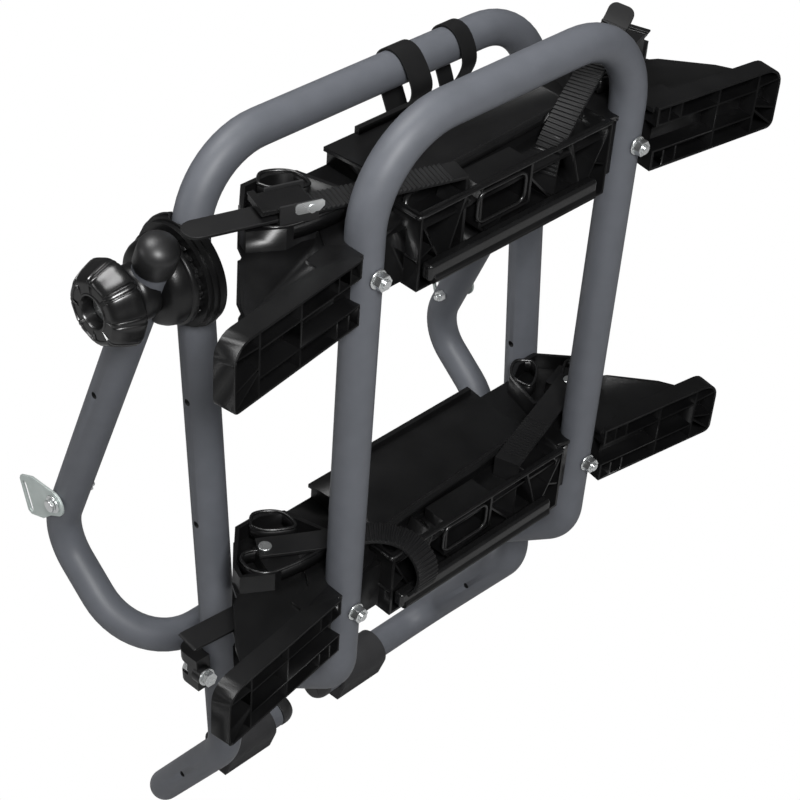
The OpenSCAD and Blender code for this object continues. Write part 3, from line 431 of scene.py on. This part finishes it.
def makeArmTube(look):
    down = Vector((0, look["elbow"][0], -look["elbow"][1])).normalized()
    tip = Vector((-look["legX"], 0, look["hubZ"])) - down * look["tip"]
    corners = [tuple(tip), (-look["legX"], look["elbow"][0], look["hubZ"] - look["elbow"][1]),
               (-look["legX"], look["bar"][0], look["hubZ"] - look["bar"][1])]
    corners += [(-x, y, z) for x, y, z in reversed(corners)]
    radii = [look["elbowR"], look["cornerR"], look["cornerR"], look["elbowR"]]
    points, faces = sweptTube(bentLine(corners, radii, tubeSize["bendSteps"]), tubeSize)
    tube = meshPiece("armTube", points, faces, "frame_paint", "arm")
    drills = []
    for side in (-1, 1):
        place = Vector((side * look["legX"], 0, look["hubZ"])) + down * look["holeFromHub"]
        drills.append(crossDrill(place, tubeSize))
    finishTube(tube, drills)
    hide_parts("trunk_arm")


makeRearTube(rearTube)
makePlatformTube(platformTube)
makeArmTube(armTube)
print("tubes swept")


# places on a wheel tray: across, through and up, in millimetres from its bolts
trayPlace = {"frontY": -107.0, "bendZ": 323.0, "leanDegrees": 5.1, "upper": 441.0, "lower": 88.0}


def onTray(tray, across, through, up):
    lean = math.radians(trayPlace["leanDegrees"])
    rise = trayPlace[tray] + up
    return Vector((across, trayPlace["frontY"] + through * math.cos(lean) - rise * math.sin(lean),
                   trayPlace["bendZ"] + through * math.sin(lean) + rise * math.cos(lean)))


def curveThrough(points, steps=20):
    # smooth curve through all the points
    dense = []
    last = len(points) - 1
    for index in range(last):
        a, b = points[max(index - 1, 0)], points[index]
        c, d = points[index + 1], points[min(index + 2, last)]
        for step in range(steps):
            t = step / steps
            dense.append(0.5 * (2 * b + (c - a) * t + (2 * a - 5 * b + 4 * c - d) * t * t
                                + (3 * b - a - 3 * c + d) * t * t * t))
    dense.append(points[-1])
    return dense


# flat straps: spacing of the plain stations, shape of one tooth along its pitch, and the soft edge
bandLook = {"plainStep": 3.0, "plainEnd": 8.0, "tooth": ((0.0, 0), (0.12, 1), (0.5, 1), (0.62, 0)),
            "endSteps": 8, "edgeMm": 0.3, "sharperThanDegrees": 40}


def bandStations(look, total):
    # distances along a band with its thickness there: plain, toothed, plain, then the round end
    step, plainEnd = bandLook["plainStep"], bandLook["plainEnd"]
    stations = [(0.0, look["thick"])]
    distance = step
    if "teeth" in look:
        teethFrom, teethTo = look["teeth"]
        while distance < teethFrom:
            stations.append((distance, look["thick"]))
            distance += step
        distance = max(distance, teethFrom + 1)
        while distance + look["pitch"] < min(teethTo, total - plainEnd):
            for part, high in bandLook["tooth"]:
                stations.append((distance + part * look["pitch"],
                                 look["thick"] + high * look["toothHigh"]))
            distance += look["pitch"]
    while distance < total - plainEnd:
        stations.append((distance, look["thick"]))
        distance += step
    corner = look["cornerR"]
    for part in range(bandLook["endSteps"] + 1):
        turn = math.pi / 2 * part / bandLook["endSteps"]
        stations.append((total - corner + corner * math.sin(turn), look["thick"]))
    return stations


def flatBand(name, path, sidesAlong, look, body, slotName):
    # a flat strap along a curve, toothed on one face where the look says so, with a rounded end
    line = curveThrough(path)
    sides = curveThrough(sidesAlong)
    lengths = [0.0]
    for first, second in zip(line, line[1:]):
        lengths.append(lengths[-1] + (second - first).length)
    total = lengths[-1]

    def place(distance):
        index = 0
        while index < len(lengths) - 2 and lengths[index + 1] < distance:
            index += 1
        share = (distance - lengths[index]) / (lengths[index + 1] - lengths[index])
        centre = line[index].lerp(line[index + 1], share)
        before, after = line[max(index - 1, 0)], line[min(index + 2, len(line) - 1)]
        along = (after - before).normalized()
        side = sides[index].lerp(sides[index + 1], share)
        side = (side - along * along.dot(side)).normalized()
        return centre, side, along.cross(side)

    points, faces = [], []
    corner = look["cornerR"]
    stations = bandStations(look, total)
    for distance, high in stations:
        centre, side, up = place(distance)
        half = look["width"] / 2
        left = corner - (total - distance)
        if left > 0:
            half -= corner - math.sqrt(max(corner * corner - left * left, 0.04))
        for across, lift in ((-half, 0), (half, 0), (half, high), (-half, high)):
            points.append((centre + side * across + up * lift) / 1000)
    for ring in range(len(stations) - 1):
        faces += ringFaces(ring * 4, ring * 4 + 4, 4)
    faces.append((3, 2, 1, 0))
    faces.append(tuple(len(points) - 4 + k for k in range(4)))
    band = meshPiece(name, points, faces, slotName, body)
    edges = band.modifiers.new("softEdge", "BEVEL")
    edges.width = bandLook["edgeMm"] / 1000
    edges.segments = 1
    edges.limit_method = "ANGLE"
    edges.angle_limit = math.radians(bandLook["sharperThanDegrees"])
    return band


# the strap that has come out of its buckle and leans behind the platform's corner
looseStrap = {
    "width": 23.0, "thick": 2.8, "toothHigh": 1.2, "pitch": 4.0, "cornerR": 7.0,
    "teeth": (22.0, 178.0), "turnDegrees": 19.0,
    "path": [(53, 0, -19), (53, 0, 6), (55.5, 0.5, 21), (63, 2, 32.5), (76, 5, 43.5), (91, 9.5, 52.5),
             (111, 16, 60.5), (133, 24.5, 66), (147, 28.5, 76), (158, 30.5, 86), (166, 31.5, 94),
             (173, 32.5, 104)],
}
# the strap that lies over the lower tray's ridge and curls down in front of it
loopedStrap = {
    "width": 23.0, "thick": 2.8, "toothHigh": 1.2, "pitch": 4.0, "cornerR": 9.0,
    "teeth": (78.0, 190.0),
    "path": [(-198, 61.5, 45.6), (-170, 44.5, 45.8), (-144, 29.5, 46), (-122, 17, 46.6), (-107, 6, 47),
             (-96, -7, 45.6), (-90, -19, 42), (-88, -31, 33.5), (-87.5, -36.5, 22), (-87.5, -35, 8),
             (-87.5, -28, -5), (-87.5, -21, -12)],
    "turnsDegrees": [30, 30, 30, 30, 48, 68, 82, 90, 90, 90, 90, 90],
}


def makeLooseStrap(look):
    turn = math.radians(look["turnDegrees"])
    path = [onTray("upper", *spot) for spot in look["path"]]
    flat = onTray("upper", -math.sin(turn), math.cos(turn), 0) - onTray("upper", 0, 0, 0)
    band = flatBand("looseStrapBand", path, [flat] * len(path), look, "platform", "strap_black")
    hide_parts("upper_right_strap")


def makeLoopedStrap(look):
    path = [onTray("lower", *spot) for spot in look["path"]]
    sides = []
    for degrees in look["turnsDegrees"]:
        turn = math.radians(degrees)
        sides.append(onTray("lower", math.sin(turn), math.cos(turn), 0) - onTray("lower", 0, 0, 0))
    band = flatBand("loopedStrapBand", path, sides, look, "platform", "strap_black")
    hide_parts("lower_left_strap")


makeLooseStrap(looseStrap)
makeLoopedStrap(loopedStrap)
print("curved straps made")


# a round bar along a curve, open or closed
def roundBar(name, points, radius, closed, finish, body, around=12):
    count = len(points)
    corners, faces = [], []
    side = None
    for index, centre in enumerate(points):
        if closed:
            along = (points[(index + 1) % count] - points[index - 1]).normalized()
        else:
            along = (points[min(index + 1, count - 1)] - points[max(index - 1, 0)]).normalized()
        side = along.orthogonal().normalized() if side is None else side
        side = (side - along * along.dot(side)).normalized()
        up = along.cross(side)
        for k in range(around):
            angle = 2 * math.pi * k / around
            corners.append((centre + side * radius * math.cos(angle)
                            + up * radius * math.sin(angle)) / 1000)
    for index in range(count if closed else count - 1):
        faces += ringFaces(index * around, (index + 1) % count * around, around)
    if not closed:
        faces.append(tuple(reversed(range(around))))
        faces.append(tuple((count - 1) * around + k for k in range(around)))
    meshPiece(name, corners, faces, finish, body)


# glossy rims of the trays: edge of the deck, edge of the ridge and rim of the front hole
trayRims = {
    "DeckEdge": {
        "radius": 2.6, "steps": 8,
        "path": [(-106, 4, 33), (-101, 8, 39.5), (-88, 12, 42.4), (-57, 15, 43), (-5, 17.5, 43.2),
                 (45, 20, 43.2), (95, 22.5, 43)],
    },
    "RidgeEdge": {
        "radius": 1.5, "steps": 6,
        "path": [(-113, -15, 37.5), (-108, -19, 39.6), (-60, -19.2, 40), (0, -19.2, 40),
                 (60, -19.2, 40), (108, -19, 39.6)],
    },
}
holeRim = {"radius": 1.5, "steps": 6, "low": (-46.5, 5.0), "high": (9.0, 33.0), "cornerR": 8.5,
           "through": -17.5}


def makeTrayRims(tray, rims):
    for name, look in rims.items():
        edge = curveThrough([onTray(tray, *spot) for spot in look["path"]], look["steps"])
        roundBar(tray + name, edge, look["radius"], False, "knob_gloss", "platform")


def makeHoleRim(tray, look):
    corner, steps = look["cornerR"], look["steps"]
    left, right = look["low"][0] + corner, look["high"][0] - corner
    foot, head = look["low"][1] + corner, look["high"][1] - corner
    rim = []
    for start, x, up in ((180, left, foot), (270, right, foot), (0, right, head), (90, left, head)):
        for step in range(steps + 1):
            angle = math.radians(start + 90 * step / steps)
            rim.append(onTray(tray, x + corner * math.cos(angle), look["through"],
                              up + corner * math.sin(angle)))
    roundBar(tray + "HoleRim", rim, look["radius"], True, "knob_gloss", "platform")


for trayName in ("upper", "lower"):
    makeTrayRims(trayName, trayRims)
    makeHoleRim(trayName, holeRim)
print("tray rims made")


# lobed knobs, turned about the hub axis; the profile is distance from the inner face, then radius
knobLook = {
    "innerX": 269.8, "hubZ": 724.0, "around": 384,
    "lobes": 8, "lobeDeep": 0.9, "lobesPastRadius": 26.0, "lobesPastOut": 3.0,
    "grooveDegrees": 2.4, "grooveDeep": 1.5, "grooveAt": 4.2,
    "notchDegrees": 5.0, "notchDeep": 1.6, "notchRadii": (20.0, 24.3), "notchPastOut": 31.0,
    "profile": [(0.0, 5.1), (0.0, 25.5), (0.9, 27.0), (3.0, 29.2), (4.6, 32.6), (6.4, 35.8), (8.4, 37.4),
                (10.6, 37.9), (16.0, 36.2), (22.0, 34.0), (27.5, 31.6), (30.6, 29.8), (32.2, 27.9),
                (33.0, 25.6), (33.0, 24.4), (32.2, 24.0), (32.2, 16.4), (33.0, 15.8), (32.8, 14.4),
                (31.0, 13.6), (17.6, 13.0), (16.3, 12.6), (16.3, 5.1)],
}


def makeKnob(side, name, look):
    # two grooves and a shallow lobe in each sector of the rim, one notch in each sector of the face
    points = []
    around = look["around"]
    sector = 360 / look["lobes"]
    notchLow, notchHigh = look["notchRadii"]
    for out, radius in look["profile"]:
        lobed = radius > look["lobesPastRadius"] and out > look["lobesPastOut"]
        notched = notchLow < radius < notchHigh and out > look["notchPastOut"]
        for k in range(around):
            degrees = 360 * k / around
            off = (degrees + sector / 2) % sector - sector / 2
            hereOut, hereRadius = out, radius
            if lobed:
                for middle in (-look["grooveAt"], look["grooveAt"]):
                    near = abs(off - middle) / look["grooveDegrees"]
                    if near < 1:
                        hereRadius -= look["grooveDeep"] * (1 - near * near)
                hereRadius -= look["lobeDeep"] * abs(math.sin(math.pi * off / sector)) ** 3
            elif notched and abs(off) < look["notchDegrees"]:
                hereOut -= look["notchDeep"]
            angle = math.radians(degrees)
            points.append((side * (look["innerX"] + hereOut) / 1000,
                           hereRadius * math.cos(angle) / 1000,
                           (look["hubZ"] + hereRadius * math.sin(angle)) / 1000))
    faces = turnedFaces(len(look["profile"]), around, side)
    knob = meshPiece(name + "Shape", points, faces, "knob_gloss", name)
    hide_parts(name)


makeKnob(-1, "knob_left", knobLook)
makeKnob(1, "knob_right", knobLook)
print("knobs made")


# soft sleeves with a round dome over the arm's upper ends; rings are distance up the arm from the
# hub axis, then radius
sleeveLook = {"legX": 250.0, "hubZ": 724.0, "slope": (167.0, -337.0), "around": 64,
              "foot": [(29.5, 16.15), (29.5, 16.9), (30.2, 17.4)], "radius": 17.4, "domeFrom": 48.0,
              "domeSteps": 16, "domeShare": 0.74, "tipShare": 0.745, "ceiling": (47.2, 16.15)}


def makeSleeves(look):
    up = -Vector((0, look["slope"][0], look["slope"][1])).normalized()
    points, faces = [], []
    around, domeFrom, domeR = look["around"], look["domeFrom"], look["radius"]
    rings = look["foot"] + [(domeFrom, domeR)]
    for step in range(1, look["domeSteps"]):
        angle = math.pi / 2 * step / look["domeSteps"]
        rings.append((domeFrom + look["domeShare"] * domeR * math.sin(angle), domeR * math.cos(angle)))
    across = Vector((1, 0, 0))
    third = up.cross(across)
    for side in (-1, 1):
        middle = Vector((side * look["legX"], 0, look["hubZ"]))

        def ring(far, radius):
            first = len(points)
            for k in range(around):
                angle = 2 * math.pi * k / around
                points.append((middle + up * far + across * radius * math.cos(angle)
                               + third * radius * math.sin(angle)) / 1000)
            return first

        starts = [ring(far, radius) for far, radius in rings]
        for first, second in zip(starts, starts[1:]):
            faces += ringFaces(first, second, around)
        tip = len(points)
        points.append((middle + up * (domeFrom + look["tipShare"] * domeR)) / 1000)
        for k in range(around):
            faces.append((starts[-1] + k, starts[-1] + (k + 1) % around, tip))
        # the inside: a wall along the tube and a flat ceiling above the tube's end
        inner = ring(*look["ceiling"])
        faces += ringFaces(inner, starts[0], around)
        faces.append(tuple(inner + k for k in reversed(range(around))))
    sleeves = meshPiece("armSleeves", points, faces, "soft_black", "arm")
    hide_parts("arm_end_caps")


makeSleeves(sleeveLook)
print("arm sleeves made")


# hub cheeks round the arm, turned about the hub axis: distance from the middle plane, then radius
cheekLook = {
    "hubZ": 724.0, "around": 96,
    "cradle": [(227.2, 5.4), (227.2, 38.6), (228.0, 39.8), (231.0, 40.0), (232.3, 39.2), (233.0, 37.6),
               (237.5, 37.2), (242.0, 36.0), (245.5, 34.0), (248.0, 31.0), (249.0, 27.0), (249.0, 5.4)],
    "cap": [(251.0, 5.4), (251.0, 22.0), (256.0, 24.0), (263.0, 24.0), (267.0, 23.0), (268.6, 21.0),
            (268.9, 19.0), (268.9, 5.4)],
}


def turnedPiece(name, side, profile, look, finish, body):
    points = []
    around = look["around"]
    for out, radius in profile:
        for k in range(around):
            angle = 2 * math.pi * k / around
            points.append((side * out / 1000, radius * math.cos(angle) / 1000,
                           (look["hubZ"] + radius * math.sin(angle)) / 1000))
    faces = turnedFaces(len(profile), around, side)
    return meshPiece(name, points, faces, finish, body)


def makeCheeks(look):
    for side, word in ((-1, "left"), (1, "right")):
        for part, shape in (("cradle", look["cradle"]), ("clamp_cap", look["cap"])):
            node = part + "_" + word
            cheek = turnedPiece(node + "Turned", side, shape, look, "black_plastic", bodyOf[node])
            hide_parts(node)


makeCheeks(cheekLook)
print("hub cheeks made")


# the rounded bar along each tray's foot and the rims of its end cups
footBar = {"across": (-107.0, 90.0), "through": (-28.4, -17.5), "up": (-18.4, -3.2),
           "roundMm": 3.2, "roundSteps": 5}
cupRims = {
    "radius": 1.6, "up": 45.2, "deep": 13.0, "wall": 2.0, "steps": 6,
    "far": [(-182, 88), (-171, 98), (-157, 92), (-149, 80), (-152, 63), (-166, 68), (-178, 78)],
    "near": [(-217, 61), (-210, 65.5), (-200, 62), (-178, 47), (-150, 32), (-152, 26), (-178, 27),
             (-203, 31.5), (-214, 38), (-218.5, 48)],
}


def makeFootBar(tray, look):
    points = [onTray(tray, x, v, w) / 1000 for w in look["up"] for v in look["through"]
              for x in look["across"]]
    faces = [(0, 2, 3, 1), (4, 5, 7, 6), (0, 1, 5, 4), (2, 6, 7, 3), (0, 4, 6, 2), (1, 3, 7, 5)]
    bar = meshPiece(tray + "FootBar", points, faces, "knob_gloss", "platform")
    edge = bar.modifiers.new("roundEdge", "BEVEL")
    edge.width = look["roundMm"] / 1000
    edge.segments = look["roundSteps"]
    edge.limit_method = "NONE"
    shading = bar.modifiers.new("shading", "WEIGHTED_NORMAL")
    shading.keep_sharp = False


def makeCupRims(tray, look):
    # each rim is a round bar with a thin wall hanging from it
    drop = onTray(tray, 0, 0, -look["deep"]) - onTray(tray, 0, 0, 0)
    for side, word in ((-1, "Left"), (1, "Right")):
        for part in ("far", "near"):
            corners = look[part] + look[part][:1]
            loop = curveThrough([onTray(tray, -side * x, v, look["up"]) for x, v in corners],
                                look["steps"])[:-1]
            roundBar(tray + word + part, loop, look["radius"], True, "knob_gloss", "platform")
            count = len(loop)
            points = [spot / 1000 for spot in loop] + [(spot + drop) / 1000 for spot in loop]
            wall = meshPiece(tray + word + part + "Wall", points, ringFaces(0, count, count),
                             "black_plastic", "platform")
            skin = wall.modifiers.new("wall", "SOLIDIFY")
            skin.thickness = look["wall"] / 1000
            skin.offset = 0


for trayName in ("upper", "lower"):
    makeFootBar(trayName, footBar)
    makeCupRims(trayName, cupRims)
print("foot bars and cup rims made")


# hold straps: up behind the rear bar, over it, and down in front in a slack loop
# paths are y and z of the strap's inner face
holdStraps = {
    "wide_hold_strap": {
        "middleX": 32.0, "width": 24.0, "thick": 1.8, "cornerR": 2.0,
        "path": [(-5, 757), (0, 772), (5, 785), (10.5, 798), (15.6, 810), (16.6, 820), (14.0, 829),
                 (7.2, 835.2), (-1.5, 836.8), (-9.6, 834), (-16.2, 827), (-22.0, 818), (-25.4, 808),
                 (-22.5, 798), (-13.5, 790.5), (-3.5, 784)],
    },
    "narrow_hold_strap": {
        "middleX": 94.5, "width": 17.0, "thick": 1.8, "cornerR": 2.0,
        "path": [(-2, 757), (2, 772), (6, 785), (11, 798), (15.8, 810), (16.6, 820), (14.0, 829),
                 (7.2, 835.2), (-1.5, 836.8), (-9.6, 834), (-15.6, 827), (-19.5, 818), (-20.2, 808),
                 (-15.5, 797), (-9.0, 787), (-5.5, 776)],
    },
}


def makeHoldStrap(node, look):
    path = [Vector((look["middleX"], y, z)) for y, z in look["path"]]
    band = flatBand(node + "Band", path, [Vector((1, 0, 0))] * len(path), look, bodyOf[node],
                    "strap_black")
    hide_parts(node)


for nodeName, strapLook in holdStraps.items():
    makeHoldStrap(nodeName, strapLook)
print("hold straps made")


# bright side plate riveted to the left buckle
sidePlate = {"middle": (-186.2, -125.6, 822.2), "along": (0.953, -0.301, -0.027),
             "out": (-0.30, -0.95, -0.085), "length": 24.0, "height": 9.6, "thick": 0.7,
             "lowerCuts": (2.5, 4.0), "upperCut": 2.0}


def makeSidePlate(look):
    middle, along, out = (Vector(look[key]) for key in ("middle", "along", "out"))
    along.normalize()
    out = (out - along * out.dot(along)).normalized()
    up = out.cross(along)
    half, high = look["length"] / 2, look["height"] / 2
    near, far = look["lowerCuts"]
    top = look["upperCut"]
    outline = [(-half, -high + near), (-half + near, -high), (half - far, -high), (half, -high + far),
               (half, high - top), (half - top, high), (-half + top, high), (-half, high - top)]
    count = len(outline)
    points = [(middle + along * a + up * b + out * lift) / 1000
              for lift in (0, look["thick"]) for a, b in outline]
    faces = [tuple(reversed(range(count))), tuple(range(count, 2 * count))]
    faces += [(k, (k + 1) % count, count + (k + 1) % count, count + k) for k in range(count)]
    meshPiece("buckleSidePlate", points, faces, "zinc_steel", bodyOf["upper_left_buckle"])


makeSidePlate(sidePlate)
print("side plate made")


# pale floor, white surround and soft lamps; only the camera sees the floor and the world in white,
# so the black plastics reflect a dim room and the lamps
stageLook = {"floorHalf": 6.0, "floorColour": (0.38, 0.38, 0.38), "floorGlow": 1.0,
             "worldStrength": 0.07}
lampLook = {
    "keyLamp": {"place": (-1.15, -1.75, 2.3), "size": 0.6, "watts": 74},
    "fillLamp": {"place": (0.4, -2.6, 1.4), "size": 0.9, "watts": 7},
    "topLamp": {"place": (-0.5, 0.5, 3.0), "size": 1.1, "watts": 46},
    "rimLamp": {"place": (-2.4, 1.4, 1.3), "size": 0.8, "watts": 7},
    "backLamp": {"place": (1.7, 2.0, 2.0), "size": 1.2, "watts": 22, "unseenInGloss": True},
}
lampTarget = (0, -0.02, 0.45)


def makeFloor(look):
    half = look["floorHalf"]
    data = bpy.data.meshes.new("paleFloor")
    data.from_pydata([(-half, -half, 0), (half, -half, 0), (half, half, 0), (-half, half, 0)],
                     [], [(0, 1, 2, 3)])
    floor = bpy.data.objects.new("paleFloor", data)
    bpy.context.scene.collection.objects.link(floor)
    material = bpy.data.materials.new("paleFloor")
    material.use_nodes = True
    tree = material.node_tree
    shader = tree.nodes["Principled BSDF"]
    shader.inputs["Base Color"].default_value = (*look["floorColour"], 1)
    shader.inputs["Roughness"].default_value = 0.9
    shader.inputs["Specular IOR Level"].default_value = 0.1
    glow = tree.nodes.new("ShaderNodeEmission")
    seen = tree.nodes.new("ShaderNodeLightPath")
    share = tree.nodes.new("ShaderNodeMath")
    share.operation = "MULTIPLY"
    share.inputs[1].default_value = look["floorGlow"]
    mix = tree.nodes.new("ShaderNodeMixShader")
    tree.links.new(seen.outputs["Is Camera Ray"], share.inputs[0])
    tree.links.new(share.outputs[0], mix.inputs["Fac"])
    tree.links.new(shader.outputs["BSDF"], mix.inputs[1])
    tree.links.new(glow.outputs["Emission"], mix.inputs[2])
    tree.links.new(mix.outputs["Shader"], tree.nodes["Material Output"].inputs["Surface"])
    data.materials.append(material)


def makeWorld(look):
    world = bpy.data.worlds.new("whiteRoom")
    bpy.context.scene.world = world
    world.use_nodes = True
    tree = world.node_tree
    tree.nodes.clear()
    seen = tree.nodes.new("ShaderNodeLightPath")
    dim = tree.nodes.new("ShaderNodeBackground")
    dim.inputs["Strength"].default_value = look["worldStrength"]
    white = tree.nodes.new("ShaderNodeBackground")
    mix = tree.nodes.new("ShaderNodeMixShader")
    out = tree.nodes.new("ShaderNodeOutputWorld")
    for background in (dim, white):
        background.inputs["Color"].default_value = (1, 1, 1, 1)
    tree.links.new(seen.outputs["Is Camera Ray"], mix.inputs["Fac"])
    tree.links.new(dim.outputs["Background"], mix.inputs[1])
    tree.links.new(white.outputs["Background"], mix.inputs[2])
    tree.links.new(mix.outputs["Shader"], out.inputs["Surface"])


def makeLamps(looks, target):
    for name, look in looks.items():
        data = bpy.data.lights.new(name, "AREA")
        data.shape = "SQUARE"
        data.size = look["size"]
        data.energy = look["watts"]
        lamp = bpy.data.objects.new(name, data)
        lamp.location = look["place"]
        lamp.visible_glossy = not look.get("unseenInGloss", False)
        lamp.rotation_euler = (Vector(target) - lamp.location).to_track_quat("-Z", "Y").to_euler()
        bpy.context.scene.collection.objects.link(lamp)


makeFloor(stageLook)
makeWorld(stageLook)
makeLamps(lampLook, lampTarget)
bpy.context.scene.view_settings.view_transform = "Standard"
print("stage and lamps ready")

bpy.context.view_layer.update()
